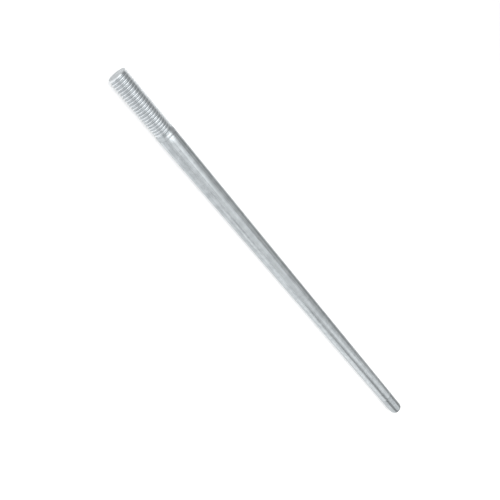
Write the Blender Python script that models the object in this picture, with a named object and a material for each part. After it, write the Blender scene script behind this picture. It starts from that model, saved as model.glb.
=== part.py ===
"""The shaft of a drill paint mixer: a plated steel tube with a threaded stud fixed in one end and a plain
drive shank fixed in the other. It lies along X on Z = 0, centred on the origin, with the thread at -X."""

import math

import bmesh
import bpy
from mathutils import Matrix

OVERALL_LENGTH = 0.400
SHAFT_DIAMETER = 0.012
TUBE_WALL = 0.002

THREAD_DIAMETER = 0.01195  # M12 with its working allowance
THREAD_PITCH = 0.00175
THREADED_LENGTH = 0.040
THREAD_RUNOUT = 1.5 * THREAD_PITCH
STUD_LAND = 0.002  # plain collar between the tube and the thread
SHANK_LENGTH = 0.027

STUD_SPIGOT_LENGTH = 0.025
SHANK_SPIGOT_LENGTH = 0.040
MATING_GAP = 0.0003  # between pieces that touch on the real shaft
EDGE_BREAK = 0.0002
END_CHAMFER = 0.0005

SIDES = 32  # flats around every turned piece, one of them facing down
SHARP_EDGE = math.radians(25)
WELD_DISTANCE = 1e-7

SHAFT_RADIUS = SHAFT_DIAMETER / 2
BORE_RADIUS = SHAFT_RADIUS - TUBE_WALL
SPIGOT_RADIUS = BORE_RADIUS - MATING_GAP
STUD_LENGTH = STUD_LAND + THREADED_LENGTH
TUBE_LENGTH = OVERALL_LENGTH - STUD_LENGTH - SHANK_LENGTH - 2 * MATING_GAP

# The thread's form, as shares of one pitch
DEPTH_SHARE = 0.6134
CREST_SHARE = 0.125
FLANK_ANGLE = math.radians(30)
FLANK_SHARE = DEPTH_SHARE * math.tan(FLANK_ANGLE)
THREAD_DEPTH = DEPTH_SHARE * THREAD_PITCH
THREAD_FORM = (
    (0.0, 0.0),
    (CREST_SHARE, 0.0),
    (CREST_SHARE + FLANK_SHARE, THREAD_DEPTH),
    (1.0 - FLANK_SHARE, THREAD_DEPTH),
)

LIGHT_ZINC = (0.66, 0.68, 0.70, 1.0)
THREAD_ZINC = (0.60, 0.62, 0.64, 1.0)
GROUND_STEEL = (0.52, 0.54, 0.56, 1.0)


def clear_scene():
    for obj in list(bpy.data.objects):
        bpy.data.objects.remove(obj, do_unlink=True)


def plated_steel(name, colour, roughness):
    material = bpy.data.materials.new(name)
    material.use_nodes = True
    shader = material.node_tree.nodes["Principled BSDF"]
    shader.inputs["Base Color"].default_value = colour
    shader.inputs["Metallic"].default_value = 1.0
    shader.inputs["Roughness"].default_value = roughness
    return material


def flat_angle(column):
    """The angle about X of a corner of the many-sided section, with a flat facing straight down."""
    return -math.pi / 2 + (column + 0.5) * 2 * math.pi / SIDES


def around_axis(x, radius, column):
    """A corner whose neighbouring flats lie at the given radius."""
    corner = radius / math.cos(math.pi / SIDES)
    angle = flat_angle(column)
    return (x, corner * math.cos(angle), corner * math.sin(angle))


def finish_mesh(name, mesh, material, parent):
    """Closes the seams, turns the faces outwards and makes the object."""
    bmesh.ops.remove_doubles(mesh, verts=mesh.verts, dist=WELD_DISTANCE)
    bmesh.ops.dissolve_degenerate(mesh, dist=WELD_DISTANCE, edges=mesh.edges)
    bmesh.ops.recalc_face_normals(mesh, faces=mesh.faces)
    data = bpy.data.meshes.new(name)
    mesh.to_mesh(data)
    mesh.free()
    data.shade_smooth()
    data.set_sharp_from_angle(angle=SHARP_EDGE)
    data.materials.append(material)
    obj = bpy.data.objects.new(name, data)
    bpy.context.collection.objects.link(obj)
    obj.parent = parent
    return obj


def spin_outline(mesh, outline, closed):
    """Turns an outline of (x, radius) points once around the X axis."""
    verts = [mesh.verts.new(around_axis(x, radius, 0)) for x, radius in outline]
    pairs = list(zip(verts, verts[1:]))
    if closed:
        pairs.append((verts[-1], verts[0]))
    edges = [mesh.edges.new(pair) for pair in pairs]
    bmesh.ops.spin(
        mesh,
        geom=verts + edges,
        cent=(0, 0, 0),
        axis=(1, 0, 0),
        angle=2 * math.pi,
        steps=SIDES,
    )


def spigot_outline(length):
    """From the spigot's centre point at its inner end to its foot at the shoulder."""
    return [
        (-length, 0.0),
        (-length, SPIGOT_RADIUS - END_CHAMFER),
        (-length + END_CHAMFER, SPIGOT_RADIUS),
        (0.0, SPIGOT_RADIUS),
        (0.0, SHAFT_RADIUS - EDGE_BREAK),
        (EDGE_BREAK, SHAFT_RADIUS),
    ]


def thread_radius(x, column):
    """The thread's radius at a place along the stud, with its run-out at the collar and its end chamfer."""
    phase = ((x - STUD_LAND) / THREAD_PITCH - column / SIDES) % 1.0
    stations = list(THREAD_FORM) + [(1.0, 0.0)]
    depth = 0.0
    for (start, depth_a), (end, depth_b) in zip(stations, stations[1:]):
        if start <= phase <= end:
            depth = depth_a + (depth_b - depth_a) * (phase - start) / (end - start)
    crest = THREAD_DIAMETER / 2
    runout = crest - THREAD_DEPTH * (x - STUD_LAND) / THREAD_RUNOUT
    chamfer = crest - END_CHAMFER + (STUD_LENGTH - x)
    return min(max(crest - depth, runout), chamfer)


def thread_point(row, column):
    """A corner of the thread's grid: rows follow the helix and stop at the collar and at the stud's end."""
    turn, place = divmod(row, len(THREAD_FORM))
    along = THREAD_PITCH * (turn + THREAD_FORM[place][0] + column / SIDES)
    x = min(max(STUD_LAND + along, STUD_LAND), STUD_LENGTH)
    return around_axis(x, thread_radius(x, column % SIDES), column)


def add_thread(mesh):
    turns = math.ceil(THREADED_LENGTH / THREAD_PITCH) + 1
    rows = range(-len(THREAD_FORM), turns * len(THREAD_FORM))
    grid = [[mesh.verts.new(thread_point(row, column)) for column in range(SIDES + 1)] for row in rows]
    for lower, upper in zip(grid, grid[1:]):
        for column in range(SIDES):
            mesh.faces.new((lower[column], lower[column + 1], upper[column + 1], upper[column]))
    ring = grid[-1]
    tip = mesh.verts.new((STUD_LENGTH, 0, 0))
    for column in range(SIDES):
        mesh.faces.new((tip, ring[column + 1], ring[column]))


def make_shaft_tube(parent):
    half = TUBE_LENGTH / 2
    outline = [
        (-half, BORE_RADIUS),
        (-half, SHAFT_RADIUS - EDGE_BREAK),
        (-half + EDGE_BREAK, SHAFT_RADIUS),
        (half - EDGE_BREAK, SHAFT_RADIUS),
        (half, SHAFT_RADIUS - EDGE_BREAK),
        (half, BORE_RADIUS),
    ]
    mesh = bmesh.new()
    spin_outline(mesh, outline, closed=True)
    material = plated_steel("plated_tube", LIGHT_ZINC, 0.34)
    tube = finish_mesh("shaft_tube", mesh, material, parent)
    tube.location.x = -OVERALL_LENGTH / 2 + STUD_LENGTH + MATING_GAP + half


def make_threaded_stud(parent):
    outline = spigot_outline(STUD_SPIGOT_LENGTH)
    outline.append((STUD_LAND - EDGE_BREAK, SHAFT_RADIUS))
    outline.append((STUD_LAND, THREAD_DIAMETER / 2))
    mesh = bmesh.new()
    spin_outline(mesh, outline, closed=False)
    add_thread(mesh)
    bmesh.ops.rotate(mesh, verts=mesh.verts, cent=(0, 0, 0), matrix=Matrix.Rotation(math.pi, 3, "Z"))
    material = plated_steel("plated_thread", THREAD_ZINC, 0.30)
    stud = finish_mesh("threaded_stud", mesh, material, parent)
    stud.location.x = -OVERALL_LENGTH / 2 + STUD_LENGTH


def make_drive_shank(parent):
    outline = spigot_outline(SHANK_SPIGOT_LENGTH)
    outline.append((SHANK_LENGTH - END_CHAMFER, SHAFT_RADIUS))
    outline.append((SHANK_LENGTH, SHAFT_RADIUS - END_CHAMFER))
    outline.append((SHANK_LENGTH, 0.0))
    mesh = bmesh.new()
    spin_outline(mesh, outline, closed=False)
    material = plated_steel("turned_shank", GROUND_STEEL, 0.28)
    shank = finish_mesh("drive_shank", mesh, material, parent)
    shank.location.x = OVERALL_LENGTH / 2 - SHANK_LENGTH


clear_scene()
shaft_axis = bpy.data.objects.new("shaft_axis", None)
bpy.context.collection.objects.link(shaft_axis)
shaft_axis.location.z = SHAFT_RADIUS
make_shaft_tube(shaft_axis)
make_threaded_stud(shaft_axis)
make_drive_shank(shaft_axis)
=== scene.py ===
import math

import bmesh
import bpy
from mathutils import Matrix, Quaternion, Vector


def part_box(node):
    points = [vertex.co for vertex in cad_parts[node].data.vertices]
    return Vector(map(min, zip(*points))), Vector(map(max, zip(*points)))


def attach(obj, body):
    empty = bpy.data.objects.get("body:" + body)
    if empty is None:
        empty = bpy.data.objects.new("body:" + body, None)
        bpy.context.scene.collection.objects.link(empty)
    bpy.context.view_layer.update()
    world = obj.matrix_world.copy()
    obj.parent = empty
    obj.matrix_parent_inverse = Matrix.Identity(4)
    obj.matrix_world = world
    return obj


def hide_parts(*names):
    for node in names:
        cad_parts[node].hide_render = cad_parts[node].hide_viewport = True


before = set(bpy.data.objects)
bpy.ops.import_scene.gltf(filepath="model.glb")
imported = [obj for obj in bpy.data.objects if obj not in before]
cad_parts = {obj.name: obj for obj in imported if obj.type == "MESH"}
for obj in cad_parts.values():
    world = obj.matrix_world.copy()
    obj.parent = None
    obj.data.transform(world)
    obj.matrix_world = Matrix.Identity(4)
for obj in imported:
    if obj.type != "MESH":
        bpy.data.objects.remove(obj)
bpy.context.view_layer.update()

# ---------------------------------------------------------------------------------------------------------
# The shaft tube: cold-drawn seamless steel tube, cut square, its ends lightly deburred and its skin zinc
# plated to a satin grey. The drawing die leaves faint lines along its whole length. The tube and its two
# fitted ends are assumed: one solid bar, with the thread cut on it, is likelier.

AROUND = 128  # faces round every turned surface
EDGE_STEPS = 4  # faces from an end face round its edge to the side
SIDE_SPACING = 0.004  # from ring to ring of faces along a plain side
WELD_DISTANCE = 1e-7
JOINT_GAP = 0.0003  # left in the frame between fitted pieces, which here meet at a hairline
HAIRLINE = 0.00002
TUBE_WALL = 0.002
JOINT_ROUND = 0.00006  # radius left on the ground-flush edges at a joint
DULL_ZINC = (0.34, 0.365, 0.38, 1)
CLEAN_ZINC = (0.62, 0.66, 0.68, 1)
DRAWN_RELIEF = 0.00004  # depth of the die lines and grain

tube_low, tube_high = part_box("shaft_tube")
axis_height = (tube_low.z + tube_high.z) / 2
shaft_radius = (tube_high.z - tube_low.z) / 2
bore_radius = shaft_radius - TUBE_WALL
stud_joint = tube_low.x - JOINT_GAP / 2
shank_joint = tube_high.x + JOINT_GAP / 2


def rounded_edge(x, radius, size, inward):
    """Outline points from an end face round its outer edge to the side. inward is +1 or -1, the way along
    X from the end face to the body of the piece."""
    turns = [math.pi / 2 * step / EDGE_STEPS for step in range(EDGE_STEPS + 1)]
    return [(x + inward * size * (1 - math.cos(a)), radius - size * (1 - math.sin(a))) for a in turns]


def plain_side(x_from, x_to, radius):
    """Evenly spaced outline points along a plain side, between its two ends."""
    count = max(1, round(abs(x_to - x_from) / SIDE_SPACING))
    return [(x_from + (x_to - x_from) * step / count, radius) for step in range(1, count)]


def turn(name, outline, closed):
    """Spins an outline of (x, radius) points round the shaft's axis."""
    mesh = bmesh.new()
    verts = [mesh.verts.new((x, -radius, axis_height)) for x, radius in outline]
    edges = [mesh.edges.new(pair) for pair in zip(verts, verts[1:])]
    if closed:
        edges.append(mesh.edges.new((verts[-1], verts[0])))
    axis_point = (0, 0, axis_height)
    bmesh.ops.spin(
        mesh,
        geom=verts + edges,
        cent=axis_point,
        axis=(1, 0, 0),
        angle=2 * math.pi,
        steps=AROUND,
    )
    bmesh.ops.remove_doubles(mesh, verts=mesh.verts, dist=WELD_DISTANCE)
    bmesh.ops.recalc_face_normals(mesh, faces=mesh.faces)
    data = bpy.data.meshes.new(name)
    mesh.to_mesh(data)
    mesh.free()
    piece = bpy.data.objects.new(name, data)
    bpy.context.collection.objects.link(piece)
    return piece


def finish_piece(piece, node, sharp_edge=35):
    """Shades a finished piece, hangs it on the shaft's body and hides the CAD part it stands for. Edges
    sharper than sharp_edge, in degrees, stay crisp."""
    piece.data.shade_smooth()
    piece.data.set_sharp_from_angle(angle=math.radians(sharp_edge))
    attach(piece, "root")
    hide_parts(node)


def add_node(tree, kind, sockets=(), **settings):
    """Adds a node and fills its input sockets, by name or number, with values or links."""
    node = tree.nodes.new(kind)
    for name, value in settings.items():
        setattr(node, name, value)
    for place, value in dict(sockets).items():
        if isinstance(value, bpy.types.NodeSocket):
            tree.links.new(value, node.inputs[place])
        else:
            node.inputs[place].default_value = value
    return node


def maths(tree, operation, *values):
    return add_node(tree, "ShaderNodeMath", enumerate(values), operation=operation).outputs[0]


def spread(tree, value, low, high, to_low, to_high):
    """A value carried from one range to another and held at its ends."""
    sockets = {"Value": value, "From Min": low, "From Max": high, "To Min": to_low, "To Max": to_high}
    return add_node(tree, "ShaderNodeMapRange", sockets).outputs["Result"]


def noise(tree, vector, scale, detail, roughness=0.6):
    sockets = {"Vector": vector, "Scale": scale, "Detail": detail, "Roughness": roughness}
    return add_node(tree, "ShaderNodeTexNoise", sockets).outputs["Fac"]


def stretched(tree, vector, scale):
    return add_node(tree, "ShaderNodeMapping", {"Vector": vector, "Scale": scale}).outputs[0]


def blend_colour(tree, factor, colour_a, colour_b):
    sockets = {0: factor, 6: colour_a, 7: colour_b}
    return add_node(tree, "ShaderNodeMix", sockets, data_type="RGBA").outputs[2]


def start_metal(name):
    """A metal material, with coordinates measured from the shaft's axis."""
    material = bpy.data.materials.new(name)
    material.use_nodes = True
    tree = material.node_tree
    shader = tree.nodes["Principled BSDF"]
    shader.inputs["Metallic"].default_value = 1.0
    place = add_node(tree, "ShaderNodeTexCoord").outputs["Object"]
    sockets = {"Vector": place, "Location": (0, 0, -axis_height)}
    centred = add_node(tree, "ShaderNodeMapping", sockets).outputs[0]
    return material, tree, shader, centred


def emboss(tree, shader, height, depth):
    """Real relief of the given depth in metres, as a bump."""
    bump = add_node(tree, "ShaderNodeBump", {"Height": height, "Distance": depth})
    tree.links.new(bump.outputs["Normal"], shader.inputs["Normal"])


def drawn_zinc():
    material, tree, shader, centred = start_metal("drawn_zinc")
    fine_lines = noise(tree, stretched(tree, centred, (9, 1300, 1300)), 1.0, 3.0)
    broad_lines = noise(tree, stretched(tree, centred, (5, 380, 380)), 1.0, 3.0)
    clouds = noise(tree, centred, 190.0, 6.0)
    grain = noise(tree, centred, 2400.0, 3.0)
    specks = spread(tree, noise(tree, centred, 800.0, 2.0), 0.66, 0.74, 0.0, 1.0)
    line_tone = spread(tree, fine_lines, 0.40, 0.60, 0.0, 0.3)
    band_tone = spread(tree, broad_lines, 0.42, 0.58, 0.0, 0.4)
    cloud_tone = spread(tree, clouds, 0.40, 0.60, 0.0, 0.3)
    tone = maths(tree, "ADD", maths(tree, "ADD", line_tone, band_tone), cloud_tone)
    worn = maths(tree, "SUBTRACT", tone, maths(tree, "MULTIPLY", specks, 0.8))
    colour = blend_colour(tree, worn, DULL_ZINC, CLEAN_ZINC)
    tree.links.new(colour, shader.inputs["Base Color"])
    satin = spread(tree, broad_lines, 0.35, 0.65, 0.20, 0.34)
    rough = maths(tree, "ADD", satin, maths(tree, "MULTIPLY", specks, 0.2))
    tree.links.new(rough, shader.inputs["Roughness"])
    relief = maths(tree, "ADD", fine_lines, maths(tree, "MULTIPLY", grain, 0.35))
    emboss(tree, shader, relief, DRAWN_RELIEF)
    return material


tube_start = stud_joint + HAIRLINE
tube_end = shank_joint - HAIRLINE
outline = [(tube_start, bore_radius)] + rounded_edge(tube_start, shaft_radius, JOINT_ROUND, +1)
outline += plain_side(tube_start, tube_end, shaft_radius)
outline += rounded_edge(tube_end, shaft_radius, JOINT_ROUND, -1)[::-1] + [(tube_end, bore_radius)]
outline += plain_side(tube_end, tube_start, bore_radius)
tube = turn("drawn_tube", outline, closed=True)
tube.data.materials.append(drawn_zinc())
finish_piece(tube, "shaft_tube")

# ---------------------------------------------------------------------------------------------------------
# The threaded stud: a steel plug pressed into the tube, with a coarse right-hand M12 thread on the part that
# stands out. Its end is faced square and lightly chamfered, and the thread runs out just before the collar.

THREAD_PITCH = 0.00175
THREAD_DEPTH = 0.6134 * THREAD_PITCH
FLANK_ANGLE = math.radians(30)  # from square to the axis
CREST_FLAT = 0.125  # these three are shares of a pitch
CREST_ROUNDING = 0.05
ROOT_ROUNDING = 0.14
THREAD_ALLOWANCE = 0.000025  # the crests lie this much under the shaft's own radius
THREAD_RUNOUT = 1.5 * THREAD_PITCH
COLLAR_LENGTH = 0.002
STUD_CHAMFER = 0.0005
SPIGOT_ROUND = 0.0005  # on the inner ends of both spigots
ROWS_PER_PITCH = 18
FACE_ROWS = 8  # rings of faces across the stud's end
SEWING_DISTANCE = 2e-6
FACE_DEPTH = 0.0002  # how far in from the stud's end its faced look fades out
FACING_FEED = 0.00026  # from ring to ring of the tool's mark on the faced end
CUT_RELIEF = 0.00003
PLAIN_ROUGHNESS = 0.32  # of the collar and the faced end
# Painted shade: the thread's colour is darker down in its roots than on its crests.
ROOT_SHADE_ZINC = (0.56, 0.585, 0.60, 1)
CREST_ZINC = (0.74, 0.77, 0.79, 1)

stud_low, stud_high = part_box("threaded_stud")
thread_start = stud_joint - COLLAR_LENGTH
crest_radius = shaft_radius - THREAD_ALLOWANCE


def thread_tree():
    """A grid wound round the shaft's axis, with its rows along the helix, sewn to the turned blank. The rows
    past the thread's end draw in to the middle and close the stud's end face."""
    tree = bpy.data.node_groups.new("cut_thread", "GeometryNodeTree")
    sockets = tree.interface
    sockets.new_socket("Geometry", in_out="INPUT", socket_type="NodeSocketGeometry")
    for name in ("Start X", "Length", "Axis Height", "Crest Radius", "Pitch", "Depth", "Run-out", "Chamfer"):
        sockets.new_socket(name, in_out="INPUT", socket_type="NodeSocketFloat")
    for name in ("Columns", "Rows per Pitch", "Face Rows"):
        sockets.new_socket(name, in_out="INPUT", socket_type="NodeSocketInt")
    sockets.new_socket("Finish", in_out="INPUT", socket_type="NodeSocketMaterial")
    sockets.new_socket("Geometry", in_out="OUTPUT", socket_type="NodeSocketGeometry")
    given = tree.nodes.new("NodeGroupInput").outputs

    def calc(operation, *values):
        return maths(tree, operation, *values)

    pitch, length, crest = given["Pitch"], given["Length"], given["Crest Radius"]
    row_step = calc("DIVIDE", pitch, given["Rows per Pitch"])
    thread_rows = calc("CEIL", calc("DIVIDE", calc("ADD", length, pitch), row_step))
    all_rows = calc("ADD", thread_rows, given["Face Rows"])
    size = {
        "Size X": 1.0,
        "Size Y": 1.0,
        "Vertices X": calc("ADD", given["Columns"], 1.0),
        "Vertices Y": calc("ADD", all_rows, 1.0),
    }
    grid = add_node(tree, "GeometryNodeMeshGrid", size).outputs["Mesh"]
    flat_place = tree.nodes.new("GeometryNodeInputPosition").outputs[0]
    flat = add_node(tree, "ShaderNodeSeparateXYZ", {0: flat_place}).outputs
    turned = calc("ADD", flat["X"], 0.5)
    row = calc("MULTIPLY", calc("ADD", flat["Y"], 0.5), all_rows)

    climb = calc("MULTIPLY", pitch, calc("SUBTRACT", turned, 1.0))
    free_along = calc("ADD", calc("MULTIPLY", row, row_step), climb)
    along = calc("MINIMUM", calc("MAXIMUM", free_along, 0.0), length)
    face_row = calc("MAXIMUM", calc("SUBTRACT", row, thread_rows), 0.0)
    face_share = calc("POWER", calc("DIVIDE", face_row, given["Face Rows"]), 2.0)

    phase = calc("SUBTRACT", calc("DIVIDE", along, pitch), turned)
    from_crest = calc("MULTIPLY", calc("PINGPONG", phase, 0.5), pitch)
    past_crest = calc("SUBTRACT", from_crest, calc("MULTIPLY", pitch, CREST_FLAT / 2))
    flank = calc("DIVIDE", past_crest, math.tan(FLANK_ANGLE))
    rounded_root = calc("SMOOTH_MIN", flank, given["Depth"], calc("MULTIPLY", pitch, ROOT_ROUNDING))
    groove = calc("SMOOTH_MAX", rounded_root, 0.0, calc("MULTIPLY", pitch, CREST_ROUNDING))
    cut = calc("SUBTRACT", crest, groove)
    run_share = calc("DIVIDE", along, given["Run-out"])
    run_out = calc("SUBTRACT", crest, calc("MULTIPLY", given["Depth"], run_share))
    chamfer = calc("ADD", calc("SUBTRACT", crest, given["Chamfer"]), calc("SUBTRACT", length, along))
    side = calc("MINIMUM", calc("MAXIMUM", cut, run_out), chamfer)
    radius = calc("MULTIPLY", side, calc("SUBTRACT", 1.0, face_share))

    angle = calc("MULTIPLY", turned, -2 * math.pi)
    spot = {
        "X": calc("SUBTRACT", given["Start X"], along),
        "Y": calc("MULTIPLY", radius, calc("COSINE", angle)),
        "Z": calc("ADD", given["Axis Height"], calc("MULTIPLY", radius, calc("SINE", angle))),
    }
    wound_place = add_node(tree, "ShaderNodeCombineXYZ", spot).outputs[0]
    wound = add_node(tree, "GeometryNodeSetPosition", {"Geometry": grid, "Position": wound_place})
    join = tree.nodes.new("GeometryNodeJoinGeometry")
    tree.links.new(given["Geometry"], join.inputs[0])
    tree.links.new(wound.outputs[0], join.inputs[0])
    seam = {"Geometry": join.outputs[0], "Distance": SEWING_DISTANCE}
    sewn = add_node(tree, "GeometryNodeMergeByDistance", seam)
    real = add_node(tree, "GeometryNodeRealizeInstances", {"Geometry": sewn.outputs[0]})
    finish = {"Geometry": real.outputs[0], "Material": given["Finish"]}
    painted = add_node(tree, "GeometryNodeSetMaterial", finish)
    add_node(tree, "NodeGroupOutput", {"Geometry": painted.outputs[0]})
    return tree


def cut_thread(piece, sizes):
    """Runs the thread's tree on the blank and keeps what it makes as a plain closed mesh."""
    tree = thread_tree()
    modifier = piece.modifiers.new("thread", "NODES")
    modifier.node_group = tree
    for socket in tree.interface.items_tree:
        if socket.name in sizes:
            modifier[socket.identifier] = sizes[socket.name]
    graph = bpy.context.evaluated_depsgraph_get()
    made = bpy.data.meshes.new_from_object(piece.evaluated_get(graph))
    piece.modifiers.clear()
    mesh = bmesh.new()
    mesh.from_mesh(made)
    bmesh.ops.recalc_face_normals(mesh, faces=mesh.faces)
    mesh.to_mesh(made)
    mesh.free()
    piece.data = made


def cut_zinc():
    material, tree, shader, centred = start_metal("cut_zinc")
    off_axis = stretched(tree, centred, (0, 1, 1))
    across = add_node(tree, "ShaderNodeVectorMath", {0: off_axis}, operation="LENGTH").outputs["Value"]
    along = add_node(tree, "ShaderNodeSeparateXYZ", {0: centred}).outputs["X"]
    height = spread(tree, across, crest_radius - THREAD_DEPTH, crest_radius, 0.0, 1.0)
    collar_from = thread_start - THREAD_RUNOUT
    collar = spread(tree, along, collar_from, collar_from + THREAD_RUNOUT / 2, 0.0, 1.0)
    face = spread(tree, along, stud_low.x, stud_low.x + FACE_DEPTH, 1.0, 0.0)
    cut = maths(tree, "SUBTRACT", maths(tree, "SUBTRACT", 1.0, collar), face)
    clouds = noise(tree, centred, 300.0, 5.0)
    grain = noise(tree, centred, 2600.0, 3.0)
    # Painted shade, made ragged with clouds: the colour darkens from the crests down into the thread's
    # roots. The same ramp also sets the roughness.
    ragged_root_shade = maths(tree, "ADD", height, spread(tree, clouds, 0.3, 0.7, -0.4, 0.3))
    in_thread = blend_colour(tree, ragged_root_shade, ROOT_SHADE_ZINC, CREST_ZINC)
    plain_tone = maths(tree, "SUBTRACT", clouds, maths(tree, "MULTIPLY", face, 0.25))
    plain = blend_colour(tree, plain_tone, DULL_ZINC, CLEAN_ZINC)
    tree.links.new(blend_colour(tree, cut, plain, in_thread), shader.inputs["Base Color"])
    cut_rough = spread(tree, ragged_root_shade, 0.0, 1.0, 0.40, 0.24)
    cut_change = maths(tree, "MULTIPLY", maths(tree, "SUBTRACT", cut_rough, PLAIN_ROUGHNESS), cut)
    tree.links.new(maths(tree, "ADD", cut_change, PLAIN_ROUGHNESS), shader.inputs["Roughness"])
    rings = maths(tree, "SINE", maths(tree, "MULTIPLY", across, 2 * math.pi / FACING_FEED))
    ring_height = maths(tree, "MULTIPLY", rings, maths(tree, "MULTIPLY", face, 0.5))
    emboss(tree, shader, maths(tree, "ADD", ring_height, grain), CUT_RELIEF)
    return material


spigot_radius = bore_radius - HAIRLINE
stud_face = stud_joint - HAIRLINE
outline = [(stud_high.x, 0.0)] + rounded_edge(stud_high.x, spigot_radius, SPIGOT_ROUND, -1)
outline += plain_side(stud_high.x - SPIGOT_ROUND, stud_face, spigot_radius)
outline += [(stud_face, spigot_radius)] + rounded_edge(stud_face, shaft_radius, JOINT_ROUND, -1)
outline += [(thread_start + 2 * THREAD_ALLOWANCE, shaft_radius), (thread_start, crest_radius)]
stud = turn("threaded_end", outline, closed=False)
thread_sizes = {
    "Start X": thread_start,
    "Length": thread_start - stud_low.x,
    "Axis Height": axis_height,
    "Crest Radius": crest_radius,
    "Pitch": THREAD_PITCH,
    "Depth": THREAD_DEPTH,
    "Run-out": THREAD_RUNOUT,
    "Chamfer": STUD_CHAMFER,
    "Columns": AROUND,
    "Rows per Pitch": ROWS_PER_PITCH,
    "Face Rows": FACE_ROWS,
    "Finish": cut_zinc(),
}
cut_thread(stud, thread_sizes)
finish_piece(stud, "threaded_stud", sharp_edge=60)

# ---------------------------------------------------------------------------------------------------------
# The drive shank: the plain round end that the drill's chuck grips. It is turned from bar with a long spigot
# pressed into the tube, and plated with it. The lathe leaves fine rings, and its end edge is rounded off.

SHANK_END_ROUND = 0.0006
TURNED_RELIEF = 0.00002
# Darker than the tube's zinc: partly the turned finish, partly painted shade that darkens the shank's
# reflection of the table.
DULL_SHADED_SHANK = (0.30, 0.325, 0.34, 1)
CLEAN_SHADED_SHANK = (0.52, 0.555, 0.575, 1)

shank_low, shank_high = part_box("drive_shank")


def turned_zinc():
    material, tree, shader, centred = start_metal("turned_zinc")
    tool_rings = noise(tree, stretched(tree, centred, (3800, 60, 60)), 1.0, 3.0)
    clouds = noise(tree, centred, 260.0, 5.0)
    scuffs = noise(tree, stretched(tree, centred, (120, 1500, 1500)), 1.0, 3.0)
    scuff_tone = spread(tree, scuffs, 0.4, 0.7, 0.0, 0.4)
    tone = maths(tree, "ADD", spread(tree, clouds, 0.3, 0.7, 0.0, 0.6), scuff_tone)
    colour = blend_colour(tree, tone, DULL_SHADED_SHANK, CLEAN_SHADED_SHANK)
    tree.links.new(colour, shader.inputs["Base Color"])
    tree.links.new(spread(tree, scuffs, 0.3, 0.7, 0.14, 0.28), shader.inputs["Roughness"])
    relief = maths(tree, "ADD", tool_rings, maths(tree, "MULTIPLY", scuffs, 0.6))
    emboss(tree, shader, relief, TURNED_RELIEF)
    return material


shank_face = shank_joint + HAIRLINE
outline = [(shank_low.x, 0.0)] + rounded_edge(shank_low.x, spigot_radius, SPIGOT_ROUND, +1)
outline += plain_side(shank_low.x + SPIGOT_ROUND, shank_face, spigot_radius)
outline += [(shank_face, spigot_radius)] + rounded_edge(shank_face, shaft_radius, JOINT_ROUND, +1)
outline += plain_side(shank_face + JOINT_ROUND, shank_high.x - SHANK_END_ROUND, shaft_radius)
outline += rounded_edge(shank_high.x, shaft_radius, SHANK_END_ROUND, -1)[::-1] + [(shank_high.x, 0.0)]
shank = turn("chuck_end", outline, closed=False)
shank.data.materials.append(turned_zinc())
finish_piece(shank, "drive_shank")

# ---------------------------------------------------------------------------------------------------------
# The studio: a white table in a dim room. A bank of soft panels hangs overhead, and lower softboxes stand on
# the camera's side and beyond the threaded end, with a dark gap between them and the table. The camera is
# low over the threaded end, looks along the shaft and is turned on its side.

TABLE_SIZE = 16.0
TABLE_GLOW = 0.5
TABLE_ROUGHNESS = 0.9
TABLE_GREY = (0.62, 0.62, 0.62, 1)
TABLE_LIGHT_GREY = (0.64, 0.64, 0.64, 1)
WHITE = (1, 1, 1, 1)
ROOM_BRIGHTNESS = 0.5
BANK_HEIGHT = 2.0
BANK_PANELS = {  # lowest and highest X, lowest and highest Y, and brightness over the room's own
    "near_panel": (-1.0, 0.34, -2.4, 0.3, 2.3),
    "step_panel": (0.34, 0.75, -2.4, 0.2, 0.6),
    "middle_panel": (0.75, 2.6, -2.4, 0.0, 0.42),
    "far_panel": (2.6, 5.4, -2.4, 1.0, 0.75),
    "back_panel": (-1.0, 2.6, 0.0, 1.0, 0.15),
}
SOFTBOXES = {  # place, aim, width, height, and brightness over the room's own
    "side_softbox": ((0.55, -1.85, 0.75), (0.55, 0, 0), 2.7, 1.26, 0.55),
    "end_softbox": ((-2.0, -0.4, 0.9), (-0.2, 0, 0), 1.8, 1.4, 1.8),
}
CAMERA_BEYOND_END = 0.0536
CAMERA_OFF_AXIS = 0.2749
CAMERA_LEAN = math.radians(42)  # from straight above the shaft
CAMERA_AIM = Vector((-0.0581, -0.0039, 0.0))
CAMERA_ROLL = math.radians(83.2)
CAMERA_LENS = 35.28
CAMERA_SENSOR = 36
CAMERA_NEAREST = 0.01
CAMERA_FARTHEST = 50


def make_table():
    material = bpy.data.materials.new("white_table")
    material.use_nodes = True
    tree = material.node_tree
    shader = tree.nodes["Principled BSDF"]
    place = add_node(tree, "ShaderNodeTexCoord").outputs["Object"]
    shade = blend_colour(tree, noise(tree, place, 3.0, 2.0), TABLE_GREY, TABLE_LIGHT_GREY)
    tree.links.new(shade, shader.inputs["Base Color"])
    shader.inputs["Roughness"].default_value = TABLE_ROUGHNESS
    shader.inputs["Emission Color"].default_value = WHITE
    shader.inputs["Emission Strength"].default_value = TABLE_GLOW
    bpy.ops.mesh.primitive_plane_add(size=TABLE_SIZE)
    table = bpy.context.object
    table.name = "white_table"
    table.data.materials.append(material)


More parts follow.
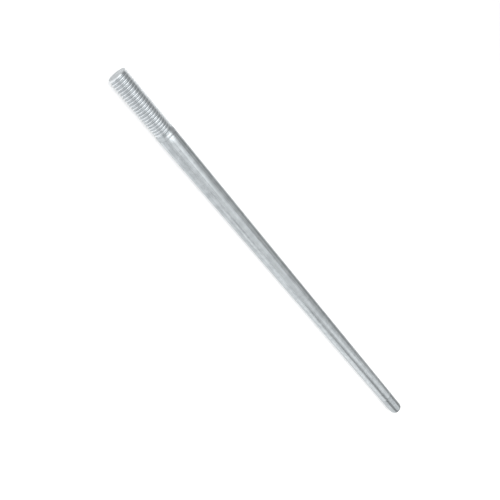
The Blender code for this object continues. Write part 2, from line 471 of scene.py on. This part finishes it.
def add_softbox(name, place, aim, width, height, brightness):
    """A rectangular light of even brightness, width along X where it faces across the shaft."""
    light = bpy.data.lights.new(name, "AREA")
    light.shape = "RECTANGLE"
    light.size, light.size_y = width, height
    light.energy = brightness * math.pi * width * height
    lamp = bpy.data.objects.new(name, light)
    bpy.context.collection.objects.link(lamp)
    lamp.location = place
    lamp.rotation_euler = (Vector(aim) - Vector(place)).to_track_quat("-Z", "Y").to_euler()
    lamp.visible_camera = False


def add_room(brightness):
    """A dim room all round, with a white backdrop where the camera looks past the table."""
    room = bpy.data.worlds.new("studio_room")
    room.use_nodes = True
    tree = room.node_tree
    seen = add_node(tree, "ShaderNodeLightPath").outputs["Is Camera Ray"]
    strength = spread(tree, seen, 0.0, 1.0, brightness, 1.0)
    tree.nodes["Background"].inputs["Color"].default_value = WHITE
    tree.links.new(strength, tree.nodes["Background"].inputs["Strength"])
    bpy.context.scene.world = room


def add_camera():
    lens = bpy.data.cameras.new("camera")
    lens.lens = CAMERA_LENS
    lens.sensor_width = CAMERA_SENSOR
    lens.clip_start = CAMERA_NEAREST
    lens.clip_end = CAMERA_FARTHEST
    camera = bpy.data.objects.new("camera", lens)
    bpy.context.collection.objects.link(camera)
    camera.location = (
        stud_low.x - CAMERA_BEYOND_END,
        -CAMERA_OFF_AXIS * math.sin(CAMERA_LEAN),
        axis_height + CAMERA_OFF_AXIS * math.cos(CAMERA_LEAN),
    )
    level = (CAMERA_AIM - camera.location).to_track_quat("-Z", "Y")
    camera.rotation_euler = (level @ Quaternion((0, 0, 1), CAMERA_ROLL)).to_euler()
    bpy.context.scene.camera = camera


make_table()
for name, (x_low, x_high, y_low, y_high, brightness) in BANK_PANELS.items():
    x_middle, y_middle = (x_low + x_high) / 2, (y_low + y_high) / 2
    place, aim = (x_middle, y_middle, BANK_HEIGHT), (x_middle, y_middle, 0)
    add_softbox(name, place, aim, x_high - x_low, y_high - y_low, brightness)
for name, (place, aim, width, height, brightness) in SOFTBOXES.items():
    add_softbox(name, place, aim, width, height, brightness)
add_room(ROOM_BRIGHTNESS)
add_camera()
bpy.context.scene.view_settings.view_transform = "Standard"
